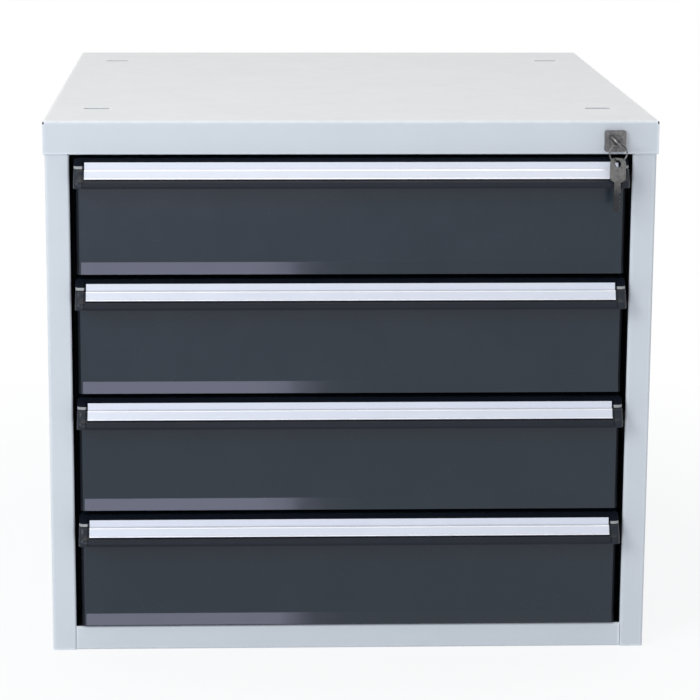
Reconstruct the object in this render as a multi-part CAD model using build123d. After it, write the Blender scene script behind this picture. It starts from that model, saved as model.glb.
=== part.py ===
from build123d import *
import math
import os

# A steel drawer cabinet for a workbench: a folded carcass under a tray-shaped cover, drawers on
# telescopic slides with full-width grip rails, and a cam lock that works one locking bar.
# Millimetres. X runs to the right, Y to the back, Z up. The origin is the middle of the underside.

# Carcass
drawer_count = 4
drawer_pitch = 116.0
opening_width = 531.0
post_width = 23.0
post_depth = 25.0
rail_height = 24.0
rail_return = 12.0
cover_skirt = 32.0
overall_depth = 600.0
sheet = 1.5
inside_bend = 1.0
panel_flange = 20.0
back_flange = 15.0
corner_relief = 1.6
skirt_edge_round = 1.2

# Slots in the cover, where the cabinet is bolted up under a bench top
slot_length = 26.0
slot_width = 9.0
slot_inset_x = 46.0
slot_inset_y = 90.0

# Fasteners of the carcass
cover_screw_radius = 2.5
cover_screw_head = 4.5
rivet_radius = 1.6
rivet_head = 3.2
head_height = 2.0
head_round = 1.2
screw_length = 8.0
hole_clearance = 0.2
rivet_rows = 4

# Telescopic slides, and the uprights that carry them
slide_thickness = 13.0
slide_height = 45.0
slide_length = 500.0
slide_sheet = 1.2
slide_bend = 0.5
slide_gap = 0.4
slide_setback = 40.5
slide_lift = 34.5
upright_width = 40.0
upright_inset = 12.0
cross_gap = 2.5

# Drawer box
box_sheet = 1.0
box_lift = 8.0
box_height = 82.0
box_length = 512.0
box_hem = 8.0

# Drawer front
front_side_gap = 5.5
front_depth = 22.0
front_sheet = 1.2
front_corner = 4.5
front_gap_below = 1.5
front_gap_above = 3.5
front_flange = 14.0
kick_height = 11.5
kick_forward = 2.4
front_screw_radius = 2.0
front_screw_head = 4.0
front_screw_length = 5.0
front_screw_inset = 7.5

# Grip rail on the drawer front: forward distance and depth below the drawer's top line
grip_overhang = 1.0
cap_width = 9.7
rim_forward = 8.0
rim_drop = 6.2
crease_back = 9.3
crease_back_drop = 12.3
crease_front = 12.4
crease_front_drop = 12.9
face_forward = 16.0
face_drop = 21.5
lip_swell = 19.4
lip_swell_drop = 24.8
lip_forward = 19.6
lip_drop = 29.5
lip_thickness = 3.0
strip_sheet = 0.8
grip_wall = 2.2
grip_back_drop = 24.0

# Cam lock in the cover's front skirt
lock_inset = 17.5
lock_drop = 19.0
lock_face = 20.0
lock_face_thickness = 4.0
lock_face_corner = 2.0
barrel_radius = 9.0
barrel_length = 22.5
plug_radius = 6.0
running_clearance = 0.05
plug_proud = 0.5
nut_width = 20.0
nut_thickness = 5.0
cam_hub = 8.0
cam_arm = 5.0
cam_thickness = 2.5
cam_throw = 10.0
cam_gap = 0.4
cam_square = 6.8
pin_radius = 2.5
pin_length = 6.0
pin_clearance = 0.6
lock_turn = 90.0

# Locking bar, its guides and the drawers' catches
bar_width = 15.0
bar_thickness = 2.0
bar_wall_gap = 3.5
bar_cam_gap = 2.5
foot_height = 14.0
foot_end = 2.0
hook_reach = 13.5
hook_height = 12.0
hook_overlap = 1.0
bar_tail = 8.0
guide_height = 15.0
guide_lift = 95.0
guide_reach = 15.0
guide_arm = 4.0
guide_base = 2.0
guide_clearance = 0.4
catch_gap = 2.0
catch_sheet = 2.0
catch_reach = 12.0
catch_base = 18.0
catch_lift = 66.0
catch_height = 10.0

# Keys
key_thickness = 2.0
key_blade_width = 6.0
key_blade_length = 26.0
key_bow_width = 15.5
key_bow_length = 23.0
key_bow_corner = 5.0
key_hole_radius = 3.5
key_hole_inset = 5.5
key_angle = -45.0
key_shoulder = 1.0
keyway_clearance = 0.2
keyway_depth = 27.0
tooth_count = 4
tooth_depth = 1.6
tooth_pitch = 4.5
ring_radius = 8.6
ring_wire = 0.7
ring_turn = 10.0
spare_turn = -35.0
spare_drop = 1.4

# How far a cut runs past the face that it goes through
cut_past = 1.0

# Places that follow from the sizes
body_width = opening_width + 2 * post_width
cover_width = body_width + 2 * sheet
opening_top = rail_height + drawer_count * drawer_pitch
overall_height = opening_top + cover_skirt
panel_top = overall_height - sheet
cover_front = -overall_depth / 2
cover_back = overall_depth / 2
front = cover_front + sheet
back = cover_back - sheet
back_panel_face = back - sheet
wall_x = body_width / 2 - sheet
front_width = opening_width - 2 * front_side_gap
grip_half = front_width / 2 + grip_overhang
lock_x = opening_width / 2 - lock_inset
box_front = front + front_depth
slide_front = front + slide_setback
slide_back = slide_front + slide_length
slide_x = wall_x - panel_flange - cross_gap - sheet
box_x = slide_x - slide_thickness
drawer_floors = [rail_height + drawer_pitch * (drawer_count - 1 - n) for n in range(drawer_count)]

os.makedirs("parts", exist_ok=True)


def block(x, y, z):
    """A rectangular solid between the low and high limits on each axis."""
    middle = Pos((x[0] + x[1]) / 2, (y[0] + y[1]) / 2, (z[0] + z[1]) / 2)
    return middle * Box(x[1] - x[0], y[1] - y[0], z[1] - z[0])


def rod(x, z, radius, y):
    """A round bar along Y."""
    return Pos(x, (y[0] + y[1]) / 2, z) * Rot(90, 0, 0) * Cylinder(radius, y[1] - y[0])


def along_x(face, x):
    """A section drawn in Y and Z, drawn out along X."""
    return extrude(Plane.YZ.offset(x[0]) * face, amount=x[1] - x[0])


def along_y(face, y):
    """A section drawn in X and Z, drawn out along Y."""
    return extrude(Plane.XZ.offset(-y[1]) * face, amount=y[1] - y[0])


def along_z(face, z):
    """A section drawn in X and Y, drawn out along Z."""
    return extrude(Plane.XY.offset(z[0]) * face, amount=z[1] - z[0])


def folded_section(points, thickness, inside_radius):
    """The section of a sheet folded along points, with its thickness on the left of that path."""
    path = [Vector(*point) for point in points]
    runs = [(after - before).normalized() for before, after in zip(path, path[1:])]
    sides = [Vector(-run.Y, run.X) for run in runs]
    far = [path[0] + sides[0] * thickness]
    near_radii = []
    far_radii = []
    for corner, one, other in zip(path[1:-1], range(len(runs)), range(1, len(runs))):
        both = sides[one] + sides[other]
        far.append(corner + both * (thickness / (1 + sides[one].dot(sides[other]))))
        turns_left = runs[one].cross(runs[other]).Z > 0
        near_radii.append(inside_radius + (thickness if turns_left else 0))
        far_radii.append(inside_radius + (0 if turns_left else thickness))
    far.append(path[-1] + sides[-1] * thickness)
    near_line = FilletPolyline(*path, radius=near_radii)
    far_line = FilletPolyline(*far, radius=far_radii)
    ends = [Line(path[0], far[0]), Line(path[-1], far[-1])]
    return make_face([*near_line.edges(), *far_line.edges(), *ends])


def both_sides(piece):
    """A piece of the right side together with its mirror image on the left."""
    return [piece, mirror(piece, about=Plane.YZ)]


def save(name, *solids):
    """One file for each named piece. Several solids make a group of separate pieces."""
    shape = solids[0] if len(solids) == 1 else Compound(children=[Part() + solid for solid in solids])
    export_step(shape, f"parts/{name}.step")


# Carcass: cover, side panels, base and back

lock_z = overall_height - lock_drop
slot_places = [
    (side_x * (cover_width / 2 - slot_inset_x), side_y * (overall_depth / 2 - slot_inset_y))
    for side_x in (-1, 1)
    for side_y in (-1, 1)
]
cover_screw_x = body_width / 2 - panel_flange / 2
cover_screw_z = opening_top + cover_skirt / 2
rivet_levels = [
    rail_height + (opening_top - rail_height) * (row + 0.5) / rivet_rows for row in range(rivet_rows)
]


def relief_cutters():
    """Round reliefs where the posts meet the cover's skirt at the opening's top corners."""
    place = opening_width / 2 + sheet / 2
    depth = (cover_front - cut_past, front + sheet + cut_past)
    return both_sides(rod(place, opening_top, corner_relief / 2, depth))


def make_cover():
    """A tray of sheet steel, skirts down, that hooks over the carcass."""
    half = cover_width / 2
    outer = block((-half, half), (cover_front, cover_back), (opening_top, overall_height))
    outer = fillet(outer.faces().sort_by(Axis.Z)[-1].edges(), inside_bend + sheet)
    inner = block(
        (-half + sheet, half - sheet),
        (cover_front + sheet, cover_back - sheet),
        (opening_top - sheet, overall_height - sheet),
    )
    cover = outer - inner
    cover += block(
        (-opening_width / 2, opening_width / 2),
        (cover_front, front + rail_return),
        (opening_top, opening_top + sheet),
    )
    edge = cover.edges().filter_by(Axis.X).group_by(Axis.Z)[0].sort_by(Axis.Y)[0]
    cover = fillet(edge, skirt_edge_round)
    slot_z = (overall_height - 2 * sheet, overall_height)
    for x, y in slot_places:
        cover -= along_z(Pos(x, y) * SlotOverall(slot_length, slot_width), slot_z)
    for x in (-half, half):
        corner = Pos(x, cover_front, overall_height - corner_relief)
        cover -= corner * Cylinder(corner_relief, 2 * corner_relief)
    cover -= rod(lock_x, lock_z, barrel_radius + hole_clearance, (cover_front - cut_past, front + cut_past))
    for screw_x in (-cover_screw_x, cover_screw_x):
        hole = cover_screw_radius + hole_clearance
        cover -= rod(screw_x, cover_screw_z, hole, (back - cut_past, cover_back + cut_past))
    return cover - relief_cutters()


def make_side_panel():
    """Right side: wall, front post with its return, and a rear flange, folded from one sheet."""
    half = body_width / 2
    path = [
        (opening_width / 2, front + post_depth),
        (opening_width / 2, front),
        (half, front),
        (half, back),
        (half - panel_flange, back),
    ]
    panel = along_z(folded_section(path, sheet, inside_bend), (0, panel_top))
    panel += block(
        (half - panel_flange, half - sheet / 2),
        (front + post_depth + panel_flange, back_panel_face - back_flange - panel_flange),
        (panel_top - sheet, panel_top),
    )
    drilled = (back_panel_face - cut_past, back + cut_past)
    panel -= rod(cover_screw_x, cover_screw_z, cover_screw_radius + hole_clearance, drilled)
    for level in rivet_levels:
        panel -= rod(cover_screw_x, level, rivet_radius + hole_clearance, drilled)
    return panel - relief_cutters()


def make_base():
    """Floor pan: front rail with its return, floor, and flanges up the back and the sides."""
    pan_back = back_panel_face - sheet
    path = [
        (front + rail_return, rail_height),
        (front, rail_height),
        (front, 0),
        (pan_back, 0),
        (pan_back, rail_height),
    ]
    pan = along_x(folded_section(path, sheet, inside_bend), (-opening_width / 2, opening_width / 2))
    wing_y = (front + post_depth + cross_gap, pan_back - panel_flange)
    for side in (-1, 1):
        floor_x = sorted((side * (opening_width / 2 - sheet), side * wall_x))
        flange_x = sorted((side * (wall_x - sheet), side * wall_x))
        pan += block(floor_x, wing_y, (0, sheet))
        pan += block(flange_x, wing_y, (0, rail_height))
    return pan


def make_back():
    """Back panel: a sheet with flanges folded forward along both sides."""
    path = [
        (wall_x, back_panel_face - back_flange),
        (wall_x, back_panel_face),
        (-wall_x, back_panel_face),
        (-wall_x, back_panel_face - back_flange),
    ]
    panel = along_z(folded_section(path, sheet, inside_bend), (0, panel_top))
    drilled = (back_panel_face - 2 * sheet, back_panel_face + cut_past)
    for x in (-cover_screw_x, cover_screw_x):
        panel -= rod(x, cover_screw_z, cover_screw_radius + hole_clearance, drilled)
        for level in rivet_levels:
            panel -= rod(x, level, rivet_radius + hole_clearance, drilled)
    return panel


def make_fastener(x, z, radius, head, seat, length):
    """A round-headed screw or rivet along Y, with its head on the back of the seat."""
    shank = rod(x, z, radius, (seat - length, seat))
    cap = rod(x, z, head, (seat, seat + head_height))
    cap = fillet(cap.edges().filter_by(GeomType.CIRCLE).sort_by(Axis.Y)[-1], head_round)
    return shank + cap


save("top_cover", make_cover())
right_panel, left_panel = both_sides(make_side_panel())
save("right_side_panel", right_panel)
save("left_side_panel", left_panel)
save("base_panel", make_base())
save("back_panel", make_back())
cover_screws = [
    make_fastener(x, cover_screw_z, cover_screw_radius, cover_screw_head, cover_back, screw_length)
    for x in (-cover_screw_x, cover_screw_x)
]
save("cover_screws", *cover_screws)
rivets = [
    make_fastener(x, level, rivet_radius, rivet_head, back, 3 * sheet)
    for x in (-cover_screw_x, cover_screw_x)
    for level in rivet_levels
]
save("back_panel_rivets", *rivets)

# Uprights that stand off the side walls and carry the slides

front_upright_y = (slide_front + upright_inset, slide_front + upright_inset + upright_width)
rear_upright_y = (slide_back - upright_inset - upright_width, slide_back - upright_inset)


def make_upright(y):
    """A channel from the base's flange to the top of the opening, welded to the side wall."""
    path = [(wall_x, y[1]), (slide_x, y[1]), (slide_x, y[0]), (wall_x, y[0])]
    return along_z(folded_section(path, sheet, inside_bend), (rail_height, opening_top))


uprights = [both_sides(make_upright(y)) for y in (front_upright_y, rear_upright_y)]
save("right_slide_uprights", *[pair[0] for pair in uprights])
save("left_slide_uprights", *[pair[1] for pair in uprights])

# Telescopic slides: three nested channels on each side of each drawer


def make_slide(mouth_x, web_x, half_height, level):
    """One channel of a slide, with its flanges from the web to the mouth."""
    low = level - half_height
    high = level + half_height
    path = [(mouth_x, low), (web_x, low), (web_x, high), (mouth_x, high)]
    if mouth_x > web_x:
        path.reverse()
    return along_y(folded_section(path, slide_sheet, slide_bend), (slide_front, slide_back))


step = slide_sheet + slide_gap
lips_x = box_x + step
for number, floor in enumerate(drawer_floors, start=1):
    level = floor + slide_lift
    half = slide_height / 2
    outer = make_slide(lips_x, slide_x, half, level)
    middle = make_slide(lips_x, slide_x - step, half - step, level)
    inner = make_slide(slide_x - 2 * step, box_x, half - 2 * step, level)
    save(f"drawer_{number}_cabinet_slides", *both_sides(outer))
    save(f"drawer_{number}_middle_slides", *both_sides(middle))
    save(f"drawer_{number}_inner_slides", *both_sides(inner))

# Drawers: box, front, grip rail, label strip, end caps, catch and screws

screw_spread_x = front_width / 2 - front_screw_inset - front_sheet - box_sheet - panel_flange


def screw_places(floor):
    """Where the four screws join the drawer box to the flange of the front."""
    low = floor + box_lift + front_screw_inset
    high = floor + box_lift + box_height - box_hem - front_screw_inset
    return [(x, z) for x in (-screw_spread_x, screw_spread_x) for z in (low, high)]


def make_box(floor):
    """Drawer box of five spot-welded sheets: a floor and four walls with a flat hem inside the rim."""
    y = (box_front, box_front + box_length)
    low = floor + box_lift
    high = low + box_height
    wall = (low + box_sheet, high)
    hem = (high - box_hem, high)
    inset_x = box_x - box_sheet
    inset_y = (y[0] + box_sheet, y[1] - box_sheet)
    mouth_x = inset_x - box_sheet
    floor_sheet = block((-box_x, box_x), y, (low, low + box_sheet))
    side = block((inset_x, box_x), y, wall) + block((mouth_x, inset_x), inset_y, hem)
    front_wall = block((-inset_x, inset_x), (y[0], inset_y[0]), wall)
    front_wall += block((-mouth_x, mouth_x), (inset_y[0], inset_y[0] + box_sheet), hem)
    back_wall = block((-inset_x, inset_x), (inset_y[1], y[1]), wall)
    back_wall += block((-mouth_x, mouth_x), (inset_y[1] - box_sheet, inset_y[1]), hem)
    for x, z in screw_places(floor):
        front_wall -= rod(x, z, front_screw_radius + hole_clearance, (y[0] - cut_past, inset_y[0] + cut_past))
    return [floor_sheet, *both_sides(side), front_wall, back_wall]


def front_solid(floor, inset):
    """The drawer front as a full block, drawn in by inset all round, with rounded upright corners."""
    half = front_width / 2 - inset
    low = floor + front_gap_below + inset
    high = floor + drawer_pitch - front_gap_above - inset
    face = front + inset
    kick = floor + front_gap_below + kick_height
    outline = [
        (face, high),
        (face, kick),
        (face - kick_forward, low),
        (box_front - inset, low),
        (box_front - inset, high),
    ]
    solid = along_x(make_face(Polyline(*outline, close=True)), (-half, half))
    rims = [
        edge
        for edge in solid.edges().filter_by(Axis.X, reverse=True)
        if edge.bounding_box().max.Y < face + front_sheet
    ]
    return fillet(rims, front_corner - inset)


def make_front(floor):
    """Drawer front: a shallow steel pan with a kicked-out lower edge and a flange at the back."""
    pan = front_solid(floor, 0) - front_solid(floor, front_sheet)
    reach = front_width / 2 - front_sheet - front_flange - panel_flange
    low = floor + front_gap_below + front_sheet + front_flange + box_lift
    high = floor + drawer_pitch - front_gap_above - front_sheet - front_flange - box_lift
    pan -= block((-reach, reach), (box_front - 2 * front_sheet, box_front + cut_past), (low, high))
    for x, z in screw_places(floor):
        hole = front_screw_radius + hole_clearance
        pan -= rod(x, z, hole, (box_front - 2 * front_sheet, box_front + cut_past))
    return pan


def grip_lines(floor):
    """Corner points of the grip rail's section at one drawer, as Y and Z."""
    top = floor + drawer_pitch
    facets = [
        (rim_forward, rim_drop),
        (crease_back, crease_back_drop),
        (crease_front, crease_front_drop),
        (face_forward, face_drop),
    ]
    outside = [(front - forward, top - drop) for forward, drop in facets]
    seat = [(y + strip_sheet, z - strip_sheet) for y, z in outside]
    root = (front, top - front_gap_above)
    swell = (front - lip_swell, top - lip_swell_drop)
    tip = (front - lip_forward, top - lip_drop)
    return root, outside, seat, swell, tip


def make_grip(floor):
    """Grip rail: a dark profile with a seat for the strip and a hollow for the fingers behind its lip."""
    root, outside, seat, swell, tip = grip_lines(floor)
    heel_z = floor + drawer_pitch - grip_back_drop
    ceiling_z = seat[2][1] - grip_wall
    hollow_back = front - grip_wall
    bottom = [
        tip,
        (tip[0] + lip_thickness, tip[1]),
        (seat[3][0] + grip_wall, seat[3][1]),
        (seat[2][0] + grip_wall, ceiling_z),
        (hollow_back, ceiling_z),
        (hollow_back, heel_z),
        (front, heel_z),
        root,
    ]
    top = Polyline(root, outside[0], *seat, outside[3])
    lip = ThreePointArc(outside[3], swell, tip)
    rest = Polyline(*bottom)
    half = grip_half - cap_width
    return along_x(make_face([*top.edges(), lip, *rest.edges()]), (-half, half))


def make_strip(floor):
    """Bright label strip, creased along its length, laid in the seat of the grip rail."""
    root, outside, seat, swell, tip = grip_lines(floor)
    half = grip_half - cap_width
    return along_x(make_face(Polyline(*outside, *reversed(seat), close=True)), (-half, half))


def make_cap(floor):
    """Right end cap with the grip rail's full outline."""
    root, outside, seat, swell, tip = grip_lines(floor)
    top = Polyline(root, *outside)
    lip = ThreePointArc(outside[3], swell, tip)
    rest = Polyline(tip, (front, tip[1]), root)
    x = (grip_half - cap_width, grip_half)
    return along_x(make_face([*top.edges(), lip, *rest.edges()]), x)


cam_face = cover_front + sheet + barrel_length
bar_face = cam_face + cam_thickness + bar_cam_gap
catch_face = bar_face + bar_thickness + catch_gap


def make_catch(floor):
    """Angle bracket on the right of the drawer box, which the locking bar's hook stops."""
    z = (floor + catch_lift, floor + catch_lift + catch_height)
    plate = block((box_x, box_x + catch_sheet), (catch_face, catch_face + catch_base), z)
    return plate + block((box_x, box_x + catch_reach), (catch_face, catch_face + catch_sheet), z)


for number, floor in enumerate(drawer_floors, start=1):
    name = f"drawer_{number}"
    save(f"{name}_box", *make_box(floor))
    save(f"{name}_front", make_front(floor))
    save(f"{name}_grip_rail", make_grip(floor))
    save(f"{name}_label_strip", make_strip(floor))
    save(f"{name}_grip_caps", *both_sides(make_cap(floor)))
    save(f"{name}_lock_catch", make_catch(floor))
    screws = [
        make_fastener(x, z, front_screw_radius, front_screw_head, box_front + box_sheet, front_screw_length)
        for x, z in screw_places(floor)
    ]
    save(f"{name}_front_screws", *screws)

# Cam lock: face and barrel, nut, plug and cam

lock_front = cover_front - lock_face_thickness
plug_front = lock_front - plug_proud
cam_rest = lock_turn / 2
pin_x = lock_x + cam_throw * math.cos(math.radians(cam_rest))
pin_z = lock_z + cam_throw * math.sin(math.radians(cam_rest))
bar_travel = 2 * cam_throw * math.sin(math.radians(cam_rest))


def make_lock_housing():
    """Square face and round barrel, bored for the plug."""
    reach = lock_face / 2
    face = block(
        (lock_x - reach, lock_x + reach), (lock_front, cover_front), (lock_z - reach, lock_z + reach)
    )
    face = fillet(face.edges().filter_by(Axis.Y), lock_face_corner)
    housing = face + rod(lock_x, lock_z, barrel_radius, (cover_front, cam_face - cam_gap))
    bore = (lock_front - cut_past, cam_face + cut_past)
    return housing - rod(lock_x, lock_z, plug_radius + running_clearance, bore)


def make_lock_nut():
    """Hexagon nut that holds the barrel behind the cover's skirt."""
    hexagon = Pos(lock_x, lock_z) * RegularPolygon(nut_width / 2, 6, major_radius=False)
    nut = along_y(hexagon, (front, front + nut_thickness))
    bore = (front - cut_past, front + nut_thickness + cut_past)
    return nut - rod(lock_x, lock_z, barrel_radius + running_clearance, bore)


def turned(shape, angle):
    """A piece drawn about the lock's axis, turned about it and set in its place."""
    return Pos(lock_x, 0, lock_z) * Rot(0, angle, 0) * shape


def make_lock_plug():
    """Turning plug with a keyway in its face and a square tail for the cam."""
    plug = rod(0, 0, plug_radius, (plug_front, cam_face))
    tail = cam_square / 2
    plug += block((-tail, tail), (cam_face, cam_face + cam_thickness), (-tail, tail))
    slot_x = key_thickness / 2 + keyway_clearance
    slot_z = key_blade_width / 2 + keyway_clearance
    plug -= block((-slot_x, slot_x), (plug_front - cut_past, plug_front + keyway_depth), (-slot_z, slot_z))
    return turned(plug, key_angle)


def make_lock_cam():
    """Cam on the plug's tail, with a pin that works the locking bar."""
    y = (cam_face, cam_face + cam_thickness)
    cam = rod(0, 0, cam_hub, y) + rod(cam_throw, 0, cam_arm, y)
    cam += block((0, cam_throw), y, (-cam_arm, cam_arm))
    cam += rod(cam_throw, 0, pin_radius, (y[0], y[1] + pin_length))
    hole = cam_square / 2 + hole_clearance / 2
    tail = block((-hole, hole), (y[0] - cut_past, y[1] + cut_past), (-hole, hole))
    return turned(cam - Rot(0, key_angle + cam_rest, 0) * tail, -cam_rest)


save("lock_housing", make_lock_housing())
save("lock_nut", make_lock_nut())
save("lock_plug", make_lock_plug())
save("lock_cam", make_lock_cam())

# Locking bar behind the right post, drawn raised, with one hook for each drawer

bar_x = (wall_x - bar_wall_gap - bar_width, wall_x - bar_wall_gap)
bar_y = (bar_face, bar_face + bar_thickness)


def make_lock_bar():
    """Upright bar: a slotted foot at the top for the cam's pin, and hooks that drop before the catches."""
    lowest = drawer_floors[-1] + catch_lift - hook_overlap + bar_travel
    bar = block(bar_x, bar_y, (lowest - bar_tail, pin_z + foot_height / 2))
    foot_z = (pin_z - foot_height / 2, pin_z + foot_height / 2)
    bar += block((lock_x + foot_end, bar_x[1]), bar_y, foot_z)
    for floor in drawer_floors:
        hook_z = floor + catch_lift - hook_overlap + bar_travel
        bar += block((bar_x[0] - hook_reach, bar_x[1]), bar_y, (hook_z, hook_z + hook_height))
    slot_radius = pin_radius + pin_clearance
    slot_run = lock_x + cam_throw - pin_x
    slot = SlotOverall(slot_run + 2 * slot_radius, 2 * slot_radius)
    bar -= along_y(Pos(pin_x + slot_run / 2, pin_z) * slot, (bar_y[0] - cut_past, bar_y[1] + cut_past))
    return bar


def make_guide(floor):
    """Clip on the side wall that the bar slides in."""
    z = (floor + guide_lift, floor + guide_lift + guide_height)
    inner = (bar_y[0] - guide_clearance, bar_y[1] + guide_clearance)
    outer = (inner[0] - guide_arm, inner[1] + guide_arm)
    clip = block((wall_x - guide_reach, wall_x), outer, z)
    slot_x = (wall_x - guide_reach - cut_past, wall_x - guide_base)
    return clip - block(slot_x, inner, (z[0] - cut_past, z[1] + cut_past))


save("lock_bar", make_lock_bar())
save("lock_bar_guides", *[make_guide(floor) for floor in drawer_floors])

# Key in the lock, ring and spare key

bow_start = plug_front - key_shoulder
bow_end = bow_start - key_bow_length
hole_y = bow_end + key_hole_inset


def make_key():
    """A flat key along Y: bow with a ring hole in front, blade with cut teeth behind."""
    half = key_thickness / 2
    bow_x = (-half, half)
    blade_z = key_blade_width / 2
    bow = block(bow_x, (bow_end, bow_start), (-key_bow_width / 2, key_bow_width / 2))
    bow = fillet(bow.edges().filter_by(Axis.X), key_bow_corner)
    key = bow + block(bow_x, (bow_start - key_shoulder, plug_front + key_blade_length), (-blade_z, blade_z))
    for tooth in range(tooth_count):
        y = plug_front + key_blade_length - tooth_pitch * (tooth + 0.5)
        notch = Pos(0, y, -blade_z) * Rot(45, 0, 0) * Box(2 * key_thickness, tooth_depth, tooth_depth)
        key -= notch
    return key - Pos(0, hole_y, 0) * Rot(0, 90, 0) * Cylinder(key_hole_radius, 2 * key_thickness)


ring_z = lock_z - ring_radius
spare_hole_z = ring_z - ring_radius - spare_drop
key = make_key()
save("key", turned(key, key_angle))
ring = Pos(lock_x, hole_y, ring_z) * Rot(0, 0, ring_turn) * Rot(90, 0, 0) * Torus(ring_radius, ring_wire)
save("key_ring", ring)
upright_key = Rot(0, 0, 90) * Rot(-90, 0, 0) * Pos(0, -hole_y, 0) * key
save("spare_key", Pos(lock_x, hole_y, spare_hole_z) * Rot(0, 0, spare_turn) * upright_key)
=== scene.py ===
import math

import bmesh
import bpy
from mathutils import Matrix, Vector


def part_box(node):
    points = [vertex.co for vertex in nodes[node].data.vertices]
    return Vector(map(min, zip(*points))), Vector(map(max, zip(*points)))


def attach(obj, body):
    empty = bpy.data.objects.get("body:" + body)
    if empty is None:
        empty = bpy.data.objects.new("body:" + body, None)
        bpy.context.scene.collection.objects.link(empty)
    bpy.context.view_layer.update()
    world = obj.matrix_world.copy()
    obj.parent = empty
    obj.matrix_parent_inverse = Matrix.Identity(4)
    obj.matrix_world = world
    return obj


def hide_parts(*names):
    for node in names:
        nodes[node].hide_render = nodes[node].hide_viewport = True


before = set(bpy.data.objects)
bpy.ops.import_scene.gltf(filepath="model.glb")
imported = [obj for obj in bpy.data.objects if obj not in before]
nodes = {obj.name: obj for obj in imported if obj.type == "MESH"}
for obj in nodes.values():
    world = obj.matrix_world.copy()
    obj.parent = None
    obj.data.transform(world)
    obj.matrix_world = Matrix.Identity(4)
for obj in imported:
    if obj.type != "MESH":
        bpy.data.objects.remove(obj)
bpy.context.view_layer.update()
scene = bpy.context.scene
scene.view_settings.view_transform = "Standard"


# Camera: it stands a little left of the middle, about 2.3 m in front and above the top,
# and looks slightly down. Its lens shift is kept small, so that turned views stay in the frame.
camera_place = (-0.1049, -2.5875, 0.8293)
camera_pitch = 11.156
camera_yaw = 1.849
camera_roll = 0.207
camera_lens = 126.50
camera_sensor = 36.0
camera_shift = (0.045, -0.115)

camera_data = bpy.data.cameras.new("camera")
camera_data.sensor_fit = "HORIZONTAL"
camera_data.sensor_width = camera_sensor
camera_data.lens = camera_lens
camera_data.shift_x, camera_data.shift_y = camera_shift
camera = bpy.data.objects.new("camera", camera_data)
scene.collection.objects.link(camera)
turn = Matrix.Rotation(math.radians(-camera_yaw), 4, "Z")
tilt = Matrix.Rotation(math.radians(90 - camera_pitch), 4, "X")
roll = Matrix.Rotation(math.radians(camera_roll), 4, "Z")
camera.matrix_world = Matrix.Translation(camera_place) @ turn @ tilt @ roll
scene.camera = camera


# Floor: a wide sheet of matt white studio board under the cabinet. The camera sees it lifted
# towards white, less so near the cabinet, where it takes the shadow.
floor_half = 20.0
floor_drop = 0.0002
floor_colour = (0.84, 0.87, 0.90, 1)
floor_lift = (0.86, 1.0)
floor_lift_reach = (0.40, 0.95)
plain_white = (1, 1, 1, 1)


def shader_node(tree, kind, inputs=None, **settings):
    """Adds a shader node, sets its plain inputs and links those that are other nodes' outputs."""
    made = tree.nodes.new(kind)
    for name, value in settings.items():
        setattr(made, name, value)
    for name, value in (inputs or {}).items():
        if isinstance(value, bpy.types.NodeSocket):
            tree.links.new(value, made.inputs[name])
        else:
            made.inputs[name].default_value = value
    return made


def new_material(name):
    """An empty node material and its tree."""
    material = bpy.data.materials.new(name)
    material.use_nodes = True
    material.node_tree.nodes.clear()
    return material, material.node_tree


def finish_tree(tree, surface):
    """Joins a tree's last shader to the material's surface."""
    shader_node(tree, "ShaderNodeOutputMaterial", {"Surface": surface.outputs[0]})


def seen_rays(tree):
    """1 for what the camera sees, straight, mirrored or through glass, and 0 for all other rays."""
    path = shader_node(tree, "ShaderNodeLightPath").outputs
    seen = path["Is Camera Ray"]
    for kind in ("Is Glossy Ray", "Is Transmission Ray"):
        either = shader_node(tree, "ShaderNodeMath", {0: seen, 1: path[kind]}, operation="MAXIMUM")
        seen = either.outputs[0]
    return seen


def spread(tree, value, low, high, start=0.3, end=0.7):
    """Stretches the part of a value from start to end, to run from low to high."""
    return shader_node(
        tree,
        "ShaderNodeMapRange",
        {"Value": value, "From Min": start, "From Max": end, "To Min": low, "To Max": high},
    ).outputs[0]


def place_in_object(tree):
    """Coordinates in metres that stay with the piece."""
    return shader_node(tree, "ShaderNodeTexCoord").outputs["Object"]


def studio_board():
    """Matt white board that shows near white and keeps part of the shadow."""
    material, tree = new_material("studio_board")
    matt = shader_node(tree, "ShaderNodeBsdfDiffuse", {"Color": floor_colour})
    glow = shader_node(tree, "ShaderNodeEmission", {"Color": plain_white, "Strength": 1.0})
    reach = shader_node(tree, "ShaderNodeVectorMath", {0: place_in_object(tree)}, operation="LENGTH")
    lift = spread(tree, reach.outputs["Value"], *floor_lift, *floor_lift_reach)
    share = shader_node(tree, "ShaderNodeMath", {0: seen_rays(tree), 1: lift}, operation="MULTIPLY")
    both = shader_node(
        tree, "ShaderNodeMixShader", {0: share.outputs[0], 1: matt.outputs[0], 2: glow.outputs[0]}
    )
    finish_tree(tree, both)
    return material


def new_piece(name, shape, material):
    """Turns a bmesh into an object with one material."""
    mesh = bpy.data.meshes.new(name)
    shape.to_mesh(mesh)
    shape.free()
    mesh.materials.append(material)
    piece = bpy.data.objects.new(name, mesh)
    scene.collection.objects.link(piece)
    return piece


board = bmesh.new()
bmesh.ops.create_grid(board, x_segments=1, y_segments=1, size=floor_half)
bmesh.ops.translate(board, verts=board.verts, vec=(0, 0, -floor_drop))
new_piece("studio_floor", board, studio_board())


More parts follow.
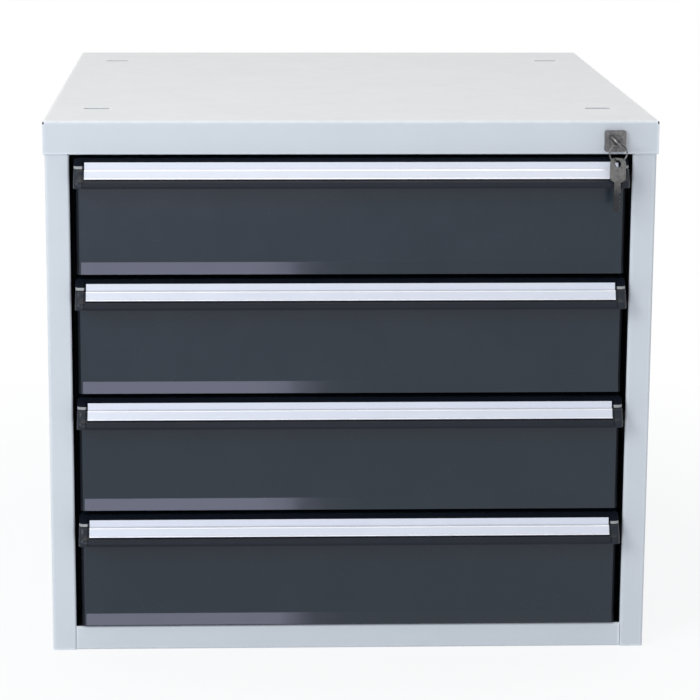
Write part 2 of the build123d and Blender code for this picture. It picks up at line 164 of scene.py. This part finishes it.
# Light: a pale room, a warm soft box overhead, a cool one high on the left, and a low one
# beside the camera on the left, which the turned-out lower edges of the drawers reflect.
room_fill = (0.82, 0.91, 1.0, 1)
room_strength = 0.50
overhead = {
    "place": (-0.2, -0.22, 2.5),
    "aim": (-0.1, -0.15, 0),
    "size": (2.4, 2.2),
    "watts": 28.5,
    "colour": (1.0, 0.90, 0.80),
}
high_left = {
    "place": (-2.1, -2.5, 1.9),
    "aim": (0, -0.3, 0.25),
    "size": (1.4, 1.6),
    "watts": 48.0,
    "colour": (0.87, 0.95, 1.0),
}
low_left = {
    "place": (-0.56, -4.5, 0.88),
    "aim": (-0.56, 0, 0.88),
    "size": (1.20, 1.30),
    "watts": 22.6,
    "colour": (0.74, 0.73, 1.0),
}

world = bpy.data.worlds.new("studio_room")
scene.world = world
world.use_nodes = True
room = world.node_tree
room.nodes.clear()
fill = shader_node(room, "ShaderNodeBackground", {"Color": room_fill, "Strength": room_strength})
white = shader_node(room, "ShaderNodeBackground", {"Color": plain_white, "Strength": 1.0})
walls = shader_node(
    room, "ShaderNodeMixShader", {0: seen_rays(room), 1: fill.outputs[0], 2: white.outputs[0]}
)
shader_node(room, "ShaderNodeOutputWorld", {"Surface": walls.outputs[0]})


def soft_box(name, place, aim, size, watts, colour):
    """A rectangular area lamp at a place, turned to face a point."""
    lamp = bpy.data.lights.new(name, "AREA")
    lamp.shape = "RECTANGLE"
    lamp.size, lamp.size_y = size
    lamp.energy = watts
    lamp.color = colour
    holder = bpy.data.objects.new(name, lamp)
    scene.collection.objects.link(holder)
    holder.location = place
    holder.rotation_euler = (Vector(aim) - Vector(place)).to_track_quat("-Z", "Y").to_euler()


soft_box("overhead_box", **overhead)
soft_box("high_left_box", **high_left)
soft_box("low_left_box", **low_left)


# Carcass: cover, side panels, base and back, folded from 1.5 mm sheet steel, welded, riveted and screwed
# together, in light grey powder coat with a fine orange peel and a painted highlight along its bends.
# The small reliefs at the cover's upper front corners carry painted shade, and so do the returns of the
# sheet round the opening, so that the gaps round the drawers stay black.
light_grey = ((0.635, 0.650, 0.657, 1), (0.655, 0.668, 0.674, 1))
light_grey_highlight = (0.92, 0.93, 0.94, 1)
light_grey_highlight_reach = 0.0040
light_grey_roughness = (0.40, 0.50)
light_grey_specular = 0.35
light_grey_peel = 0.05
notch_shade = ((0.030, 0.030, 0.032, 1), (0.038, 0.038, 0.040, 1))
notch_roughness = (0.6, 0.7)
notch_specular = 0.1
notch_reach = 0.005
gap_shade_colours = ((0.007, 0.009, 0.012, 1), (0.009, 0.011, 0.015, 1))
gap_shade_roughness = (0.50, 0.60)
gap_shade_specular = 0.10
return_depth = 0.030
return_squareness = 0.97
coat_edge = 0.0007
coat_peel = 0.02
coat_peel_height = 0.0002
coat_peel_waves = 620.0
coat_mottle_waves = 14.0
coat_gloss_waves = 55.0
coat_edge_patch_waves = 90.0
edge_turn = (0.80, 0.99)
edge_patches = (0.5, 1.0, 0.35, 0.65)
bevel_samples = 4


def noise(tree, place, waves, detail=3.0):
    """A soft random pattern, with its scale in waves per metre."""
    return shader_node(
        tree, "ShaderNodeTexNoise", {"Vector": place, "Scale": waves, "Detail": detail}
    ).outputs["Fac"]


def blend(tree, factor, one, other):
    """A colour between two others."""
    mixed = shader_node(tree, "ShaderNodeMix", {0: factor, 6: one, 7: other}, data_type="RGBA")
    return mixed.outputs[2]


def edge_wear_and_painted_light(tree, radius, place, patch_waves):
    """The normal rounded at sharp edges, and a broken mask that is 1 along those edges, for edge wear and
    for painted highlights and shade there.
    """
    rounded = shader_node(tree, "ShaderNodeBevel", {"Radius": radius}, samples=bevel_samples)
    flat = shader_node(tree, "ShaderNodeNewGeometry")
    agree = shader_node(
        tree,
        "ShaderNodeVectorMath",
        {0: rounded.outputs[0], 1: flat.outputs["Normal"]},
        operation="DOT_PRODUCT",
    )
    edge = spread(tree, agree.outputs["Value"], 1.0, 0.0, *edge_turn)
    patches = spread(tree, noise(tree, place, patch_waves, detail=4.0), *edge_patches)
    mask = shader_node(tree, "ShaderNodeMath", {0: edge, 1: patches}, operation="MULTIPLY")
    return rounded.outputs[0], mask.outputs[0]


def powder_coat(
    name, colours, edge_colour, roughness, specular, peel=coat_peel, edge=coat_edge, round_edges=True
):
    """Sprayed and baked powder: a faint mottle, orange peel and the edge colour along the edges, which is
    thinner, worn paint on the dark coats and a painted highlight on the light grey.
    """
    material, tree = new_material(name)
    place = place_in_object(tree)
    mottle = noise(tree, place, coat_mottle_waves, detail=4.0)
    ground = blend(tree, spread(tree, mottle, 0.0, 1.0), *colours)
    rounded, edge_mask = edge_wear_and_painted_light(tree, edge, place, coat_edge_patch_waves)
    ripples = noise(tree, place, coat_peel_waves)
    peel_inputs = {"Strength": peel, "Distance": coat_peel_height, "Height": ripples}
    if round_edges:
        peel_inputs["Normal"] = rounded
    orange_peel = shader_node(tree, "ShaderNodeBump", peel_inputs)
    paint = shader_node(
        tree,
        "ShaderNodeBsdfPrincipled",
        {
            "Base Color": blend(tree, edge_mask, ground, edge_colour),
            "Roughness": spread(tree, noise(tree, place, coat_gloss_waves), *roughness),
            "Specular IOR Level": specular,
            "Normal": orange_peel.outputs[0],
        },
    )
    finish_tree(tree, paint)
    return material


def finish_node(name, material, *others):
    """Gives a node of the frame its finish, and other finishes to the faces that their tests choose."""
    mesh = nodes[name].data
    mesh.materials.clear()
    mesh.materials.append(material)
    for face in mesh.polygons:
        face.material_index = 0
    for place, (other, chosen) in enumerate(others, 1):
        mesh.materials.append(other)
        for face in mesh.polygons:
            if chosen(face):
                face.material_index = place


cover_low, cover_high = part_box("top_cover")
notch_corners = [Vector((x, cover_low[1], cover_high[2])) for x in (cover_low[0], cover_high[0])]
carcass_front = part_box("left_side_panel")[0][1]


def in_corner_notch(face):
    """True inside the small reliefs at the cover's upper front corners, which carry painted shade."""
    return min((face.center - corner).length for corner in notch_corners) < notch_reach


def faces_opening(face):
    """True for the flat returns just behind the carcass's front, which face the drawers."""
    near = face.center.y < carcass_front + return_depth
    inwards = face.normal.x * face.center.x < 0 and abs(face.normal.x) > return_squareness
    return near and (inwards or face.normal.z > return_squareness)


# The light grey's pale edge colour is a painted highlight along the bends and edges.
light_paint = powder_coat(
    "light_grey_powder_coat",
    light_grey,
    light_grey_highlight,
    light_grey_roughness,
    light_grey_specular,
    peel=light_grey_peel,
    edge=light_grey_highlight_reach,
    round_edges=False,
)
notch_shade_paint = powder_coat("painted_notch_shade", notch_shade, notch_shade[1], notch_roughness, notch_specular)
# Painted shade for the gaps round the drawers: a near-black paint on the faces that stand in them.
gap_shade_paint = powder_coat(
    "painted_gap_shade", gap_shade_colours, gap_shade_colours[1], gap_shade_roughness, gap_shade_specular
)
finish_node("top_cover", light_paint, (notch_shade_paint, in_corner_notch))
finish_node("back_panel", light_paint)
for name in ("left_side_panel", "right_side_panel", "base_panel"):
    finish_node(name, light_paint, (gap_shade_paint, faces_opening))


# Slide uprights: folded steel channels, welded inside the side panels to carry the slides.
# They carry the same painted shade as the returns in front of them.
for name in ("left_slide_uprights", "right_slide_uprights"):
    finish_node(name, gap_shade_paint)


# Drawer fronts and boxes: thin sheet steel, folded and spot welded, in dark grey powder coat. It is satin
# in the box and on the flat of the front, and glossier on the front's turned-out lower edge, which takes
# a clear reflection.
drawer_numbers = range(1, 5)
dark_grey = ((0.011, 0.020, 0.031, 1), (0.014, 0.023, 0.034, 1))
dark_grey_edge = (0.050, 0.056, 0.066, 1)
dark_grey_specular = 0.4
glossy_roughness = (0.06, 0.09)
satin_roughness = (0.22, 0.28)
upright_edge_turn = 0.45
flat_front_turn = 0.995


def faces_sideways(face):
    """True for the outer part of the fronts' rounded upright edges, which carry the painted shade of the
    gaps beside them.
    """
    return abs(face.normal.x) > upright_edge_turn


def faces_front(face):
    """True for the flat of the front, above the turned-out lower edge."""
    return face.normal.y < -flat_front_turn


glossy_paint = powder_coat(
    "dark_grey_powder_coat", dark_grey, dark_grey_edge, glossy_roughness, dark_grey_specular
)
satin_paint = powder_coat(
    "dark_grey_satin_coat", dark_grey, dark_grey_edge, satin_roughness, dark_grey_specular
)
for number in drawer_numbers:
    front = f"drawer_{number}_front"
    # The outer part of each front's rounded upright edges gets the painted gap shade.
    finish_node(front, glossy_paint, (satin_paint, faces_front), (gap_shade_paint, faces_sideways))
    finish_node(f"drawer_{number}_box", satin_paint)


# Grip rails: extruded black plastic, screwed along the top of each front, with a seat for the label
# strip and a lip that the fingers reach behind. The lock bar's guides are moulded from the same plastic.
rail_plastic = ((0.007, 0.010, 0.016, 1), (0.009, 0.012, 0.019, 1))
rail_plastic_edge = (0.020, 0.024, 0.032, 1)
rail_roughness = (0.42, 0.52)
rail_specular = 0.22
# The rim along the top is matt, and its darker colour is painted shade.
rim_shaded_plastic = ((0.004, 0.006, 0.011, 1), (0.006, 0.008, 0.014, 1))
rim_roughness = (0.75, 0.85)
rim_specular = 0.05
rim_turn = 0.75


def faces_up(face):
    """True for the rim along the top of the rail, which is matt and painted darker as shade."""
    return face.normal.z > rim_turn


grip_plastic = powder_coat(
    "black_grip_plastic", rail_plastic, rail_plastic_edge, rail_roughness, rail_specular
)
matt_shaded_rim = powder_coat("matt_rim_painted_shade", rim_shaded_plastic, rim_shaded_plastic[1], rim_roughness, rim_specular)
for number in drawer_numbers:
    finish_node(f"drawer_{number}_grip_rail", grip_plastic, (matt_shaded_rim, faces_up))
finish_node("lock_bar_guides", grip_plastic)


# Label strips: satin anodised aluminium, one pressed into the seat of each grip rail. A rounded crease
# divides its two flats, and its lower edge is rolled into a bead. Crease and bead are polished, and
# painted lighter as a highlight.
strip_metal = ((0.65, 0.665, 0.715, 1), (0.67, 0.685, 0.735, 1))
strip_roughness = (0.50, 0.60)
strip_metallic = 0.25
strip_polish_and_highlight = ((0.80, 0.81, 0.85, 1), (0.84, 0.85, 0.88, 1))
bright_roughness = (0.28, 0.36)
bright_metallic = 0.6
strip_lines = (6.0, 1500.0, 1500.0)
metal_mottle_waves = 30.0
metal_edge = 0.0004
scratch_strength = 0.05
scratch_height = 0.0001

# The points of a section are distances forward from the drawer's face and down from its top line
strip_facets = ((0.0080, 0.0062), (0.0093, 0.0123), (0.0124, 0.0129), (0.0160, 0.0215))
strip_groove = 0.0006
strip_sheet = 0.00075
crease_round = 0.0009
crease_steps = 5
crease_turn = (0.45, 0.97)
bead_radius = 0.00075
bead_lift = 0.0001
bead_start = 0.020
bead_first_turn = 172
bead_turn_step = 29
bead_points = 9
sharp_corner = 40


def brushed_metal(name, colours, roughness, lines, metallic=1.0):
    """Bare or plated metal with fine drawn lines and uneven gloss."""
    material, tree = new_material(name)
    place = place_in_object(tree)
    drawn_out = shader_node(tree, "ShaderNodeMapping", {"Vector": place, "Scale": lines}).outputs[0]
    streaks = noise(tree, drawn_out, 1.0)
    mottle = spread(tree, noise(tree, place, metal_mottle_waves), 0.0, 1.0)
    rounded = shader_node(tree, "ShaderNodeBevel", {"Radius": metal_edge}, samples=bevel_samples)
    scratches = shader_node(
        tree,
        "ShaderNodeBump",
        {
            "Strength": scratch_strength,
            "Distance": scratch_height,
            "Height": streaks,
            "Normal": rounded.outputs[0],
        },
    )
    metal = shader_node(
        tree,
        "ShaderNodeBsdfPrincipled",
        {
            "Base Color": blend(tree, mottle, *colours),
            "Metallic": metallic,
            "Roughness": spread(tree, streaks, *roughness),
            "Normal": scratches.outputs[0],
        },
    )
    finish_tree(tree, metal)
    return material


def rounded_corner(before, corner, after, reach):
    """Points of a smooth turn that replaces a corner of a section."""
    corner = Vector(corner)
    start = corner.lerp(Vector(before), reach / (Vector(before) - corner).length)
    end = corner.lerp(Vector(after), reach / (Vector(after) - corner).length)
    points = []
    for step in range(crease_steps + 1):
        share = step / crease_steps
        points.append(tuple(start.lerp(corner, share).lerp(corner.lerp(end, share), share)))
    return points


def strip_section():
    """The strip's outline: a flat, a rounded crease, a second flat and a rolled lower edge."""
    top, back, crease, foot = strip_facets
    run = (Vector(foot) - Vector(crease)).normalized()
    out = Vector((run.y, -run.x))
    centre = Vector(foot) - run * bead_radius + out * bead_lift
    bead = []
    for step in range(bead_points):
        angle = math.radians(bead_first_turn - bead_turn_step * step)
        bead.append(tuple(centre + (run * math.cos(angle) + out * math.sin(angle)) * bead_radius))
    outside = [top, back] + rounded_corner(back, crease, foot, crease_round) + bead
    inside = [(forward - strip_sheet, drop + strip_sheet) for forward, drop in (crease, back, top)]
    return outside + inside


def lofted(name, skins, material):
    """Closed skins, each through rings of points, flat at both ends and smooth but for sharp corners."""
    shape = bmesh.new()
    for rings in skins:
        loops = [[shape.verts.new(point) for point in ring] for ring in rings]
        count = len(loops[0])
        for one, other in zip(loops, loops[1:]):
            for place in range(count):
                follow = (place + 1) % count
                shape.faces.new((one[place], one[follow], other[follow], other[place]))
        shape.faces.new(list(reversed(loops[0])))
        shape.faces.new(loops[-1])
    bmesh.ops.recalc_face_normals(shape, faces=shape.faces)
    for face in shape.faces:
        face.smooth = True
    piece = new_piece(name, shape, material)
    piece.data.set_sharp_from_angle(angle=math.radians(sharp_corner))
    return piece


def grip_origin(number):
    """The Y of a drawer's face and the Z of its top line, from which the grip's sizes are taken."""
    low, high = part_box(f"drawer_{number}_label_strip")
    return low[1] + strip_facets[-1][0], high[2] + strip_facets[0][1]


strip_finish = brushed_metal(
    "satin_strip_aluminium", strip_metal, strip_roughness, strip_lines, strip_metallic
)
bright_edge = brushed_metal(
    "polished_strip_edge_highlight", strip_polish_and_highlight, bright_roughness, strip_lines, bright_metallic
)
for number in drawer_numbers:
    face, top = grip_origin(number)
    low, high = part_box(f"drawer_{number}_label_strip")
    rings = []
    for x in (low[0] + strip_groove, high[0] - strip_groove):
        rings.append([(x, face - forward, top - drop) for forward, drop in strip_section()])
    strip = lofted(f"label_strip_{number}", [rings], strip_finish)
    strip.data.materials.append(bright_edge)
    for part in strip.data.polygons:
        along_strip = len(part.vertices) == 4
        on_crease = crease_turn[0] < part.normal.z < crease_turn[1] and part.normal.y < 0
        on_bead = along_strip and top - part.center.z > bead_start
        part.material_index = 1 if on_crease or on_bead else 0
    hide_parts(f"drawer_{number}_label_strip")
    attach(strip, f"drawer_{number}")


# End caps: moulded plastic plugs with the rail's outline, pushed into its ends. A groove divides each
# from the strip, and the outer end is rounded. The part above the strip's crease has the rim's painted
# shade, and a ridge beside the crease is glossier and painted light grey as a highlight.
cap_plastic = ((0.010, 0.014, 0.021, 1), (0.013, 0.017, 0.025, 1))
cap_plastic_edge = (0.030, 0.034, 0.042, 1)
cap_roughness = (0.24, 0.34)
cap_specular = 0.25
ridge_painted_highlight = ((0.30, 0.30, 0.29, 1), (0.38, 0.38, 0.36, 1))
ridge_roughness = (0.25, 0.35)
ridge_specular = 0.5
cap_root = (0.0, 0.0035)
cap_lip = ((0.0177, 0.0225), (0.0190, 0.0239), (0.0195, 0.0256), (0.01975, 0.0275), (0.0196, 0.0295))
cap_ridge = (0.0098, 0.0122)
cap_ridge_round = 0.0018
cap_round = 0.0045
cap_round_steps = 6
cap_groove = 0.0015
cap_groove_depth = 0.0020


def cap_section():
    """The cap's outline, from its root on the drawer's face round to the lip and back."""
    top, back, crease, foot = strip_facets
    ridge_top = Vector(top).lerp(Vector(back), (cap_ridge[0] - top[1]) / (back[1] - top[1]))
    upper_line = [cap_root, top, tuple(ridge_top), back]
    front_line = upper_line + rounded_corner(back, crease, foot, cap_ridge_round) + [foot]
    return front_line + list(cap_lip) + [(cap_root[0], cap_lip[-1][1])]


def cap_ring(number, x, draw_in):
    """The cap's outline at one place along the drawer, drawn back towards the drawer's face."""
    face, top = grip_origin(number)
    return [(x, face - max(forward - draw_in, 0.0), top - drop) for forward, drop in cap_section()]


cap_finish = powder_coat(
    "moulded_cap_plastic", cap_plastic, cap_plastic_edge, cap_roughness, cap_specular
)
ridge_highlight_finish = powder_coat(
    "cap_ridge_painted_highlight", ridge_painted_highlight, ridge_painted_highlight[1], ridge_roughness, ridge_specular
)
for number in drawer_numbers:
    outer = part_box(f"drawer_{number}_grip_caps")[1][0]
    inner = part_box(f"drawer_{number}_label_strip")[1][0]
    groove_end = inner + cap_groove
    pair = []
    for side in (-1, 1):
        rings = [cap_ring(number, side * x, cap_groove_depth) for x in (inner, groove_end)]
        rings.append(cap_ring(number, side * groove_end, 0.0))
        for step in range(cap_round_steps + 1):
            angle = math.radians(90 * step / cap_round_steps)
            x = outer - cap_round * (1 - math.sin(angle))
            rings.append(cap_ring(number, side * x, cap_round * (1 - math.cos(angle))))
        pair.append(rings)
    caps = lofted(f"grip_caps_{number}", pair, cap_finish)
    caps.data.materials.append(matt_shaded_rim)
    caps.data.materials.append(ridge_highlight_finish)
    top = grip_origin(number)[1]
    for part in caps.data.polygons:
        drop = top - part.center.z
        # Faces above the ridge get the rim's painted shade, and the ridge beside the strip a painted
        # highlight.
        if drop < cap_ridge[0]:
            part.material_index = 1
        elif drop < cap_ridge[1] and abs(part.center.x) > groove_end:
            part.material_index = 2
    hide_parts(f"drawer_{number}_grip_caps")
    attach(caps, f"drawer_{number}")


# Hardware: zinc plated steel screws, rivets, slides and catches, and the lock's nut, cam and bar.
# The slides' front ends carry painted shade, because they stand in the gaps beside the drawer fronts.
zinc = ((0.55, 0.56, 0.57, 1), (0.64, 0.64, 0.62, 1))
zinc_roughness = (0.28, 0.46)
zinc_lines = (400.0, 20.0, 400.0)
slide_end_turn = 0.9
drawer_hardware = ("lock_catch", "front_screws")
drawer_slides = ("cabinet_slides", "middle_slides", "inner_slides")


def faces_forward(face):
    """True for the sheet edges at the slides' front ends."""
    return face.normal.y < -slide_end_turn


zinc_finish = brushed_metal("zinc_plated_steel", zinc, zinc_roughness, zinc_lines)
for name in ("cover_screws", "back_panel_rivets", "lock_nut", "lock_cam", "lock_bar"):
    finish_node(name, zinc_finish)
for number in drawer_numbers:
    for piece in drawer_hardware:
        finish_node(f"drawer_{number}_{piece}", zinc_finish)
    for piece in drawer_slides:
        finish_node(f"drawer_{number}_{piece}", zinc_finish, (gap_shade_paint, faces_forward))


# Lock and keys: cast and stamped brass with dull nickel plating, mottled by handling, with painted shade
# in the corners and along the edges, and the most painted shade at the tip of the spare key's blade. The
# plug turns in the housing with the key, and the ring carries the spare key.
nickel = ((0.12, 0.12, 0.122, 1), (0.21, 0.205, 0.20, 1))
# Painted shade in the corners and along the edges:
nickel_corner_shade = (0.030, 0.030, 0.033, 1)
nickel_edge_shade = (0.070, 0.070, 0.073, 1)
nickel_roughness = (0.22, 0.42)
nickel_mottle_waves = 260.0
nickel_gloss_waves = 150.0
nickel_edge_patch_waves = 200.0
nickel_edge_round = 0.0006
dent_strength = 0.25
dent_depth = 0.0003
dent_waves = 300.0
corner_reach = 0.004
corner_samples = 8
corner_shade = (0.35, 0.9)
# Painted shade, darkest at the tip of the spare key's blade:
blade_shade_colour = (0.034, 0.036, 0.039, 1)
blade_shade = 0.95
blade_shade_reach = (0.014, 0.032)
blade_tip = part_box("spare_key")[0][2]
blade_fade = [blade_tip + reach for reach in blade_shade_reach]


def dull_nickel(name, fade=None):
    """Mottled plating with painted shade in the corners and along the edges, and painted shade towards
    the lower end of the fade where there is one.
    """
    material, tree = new_material(name)
    place = place_in_object(tree)
    mottle = spread(tree, noise(tree, place, nickel_mottle_waves, detail=5.0), 0.0, 1.0)
    open_air = shader_node(
        tree, "ShaderNodeAmbientOcclusion", {"Distance": corner_reach}, samples=corner_samples
    )
    clear = spread(tree, open_air.outputs["AO"], 0.0, 1.0, *corner_shade)
    ground = blend(tree, clear, nickel_corner_shade, blend(tree, mottle, *nickel))
    if fade:
        height = shader_node(tree, "ShaderNodeSeparateXYZ", {0: place}).outputs["Z"]
        ground = blend(tree, spread(tree, height, blade_shade, 0.0, *fade), ground, blade_shade_colour)
    rounded, edge_mask = edge_wear_and_painted_light(tree, nickel_edge_round, place, nickel_edge_patch_waves)
    dents = shader_node(
        tree,
        "ShaderNodeBump",
        {
            "Strength": dent_strength,
            "Distance": dent_depth,
            "Height": noise(tree, place, dent_waves),
            "Normal": rounded,
        },
    )
    metal = shader_node(
        tree,
        "ShaderNodeBsdfPrincipled",
        {
            "Base Color": blend(tree, edge_mask, ground, nickel_edge_shade),
            "Metallic": 1.0,
            "Roughness": spread(tree, noise(tree, place, nickel_gloss_waves), *nickel_roughness),
            "Normal": dents.outputs[0],
        },
    )
    finish_tree(tree, metal)
    return material


nickel_finish = dull_nickel("dull_nickel")
for name in ("lock_housing", "lock_plug", "key", "key_ring"):
    finish_node(name, nickel_finish)
finish_node("spare_key", dull_nickel("shaded_key_nickel", blade_fade))
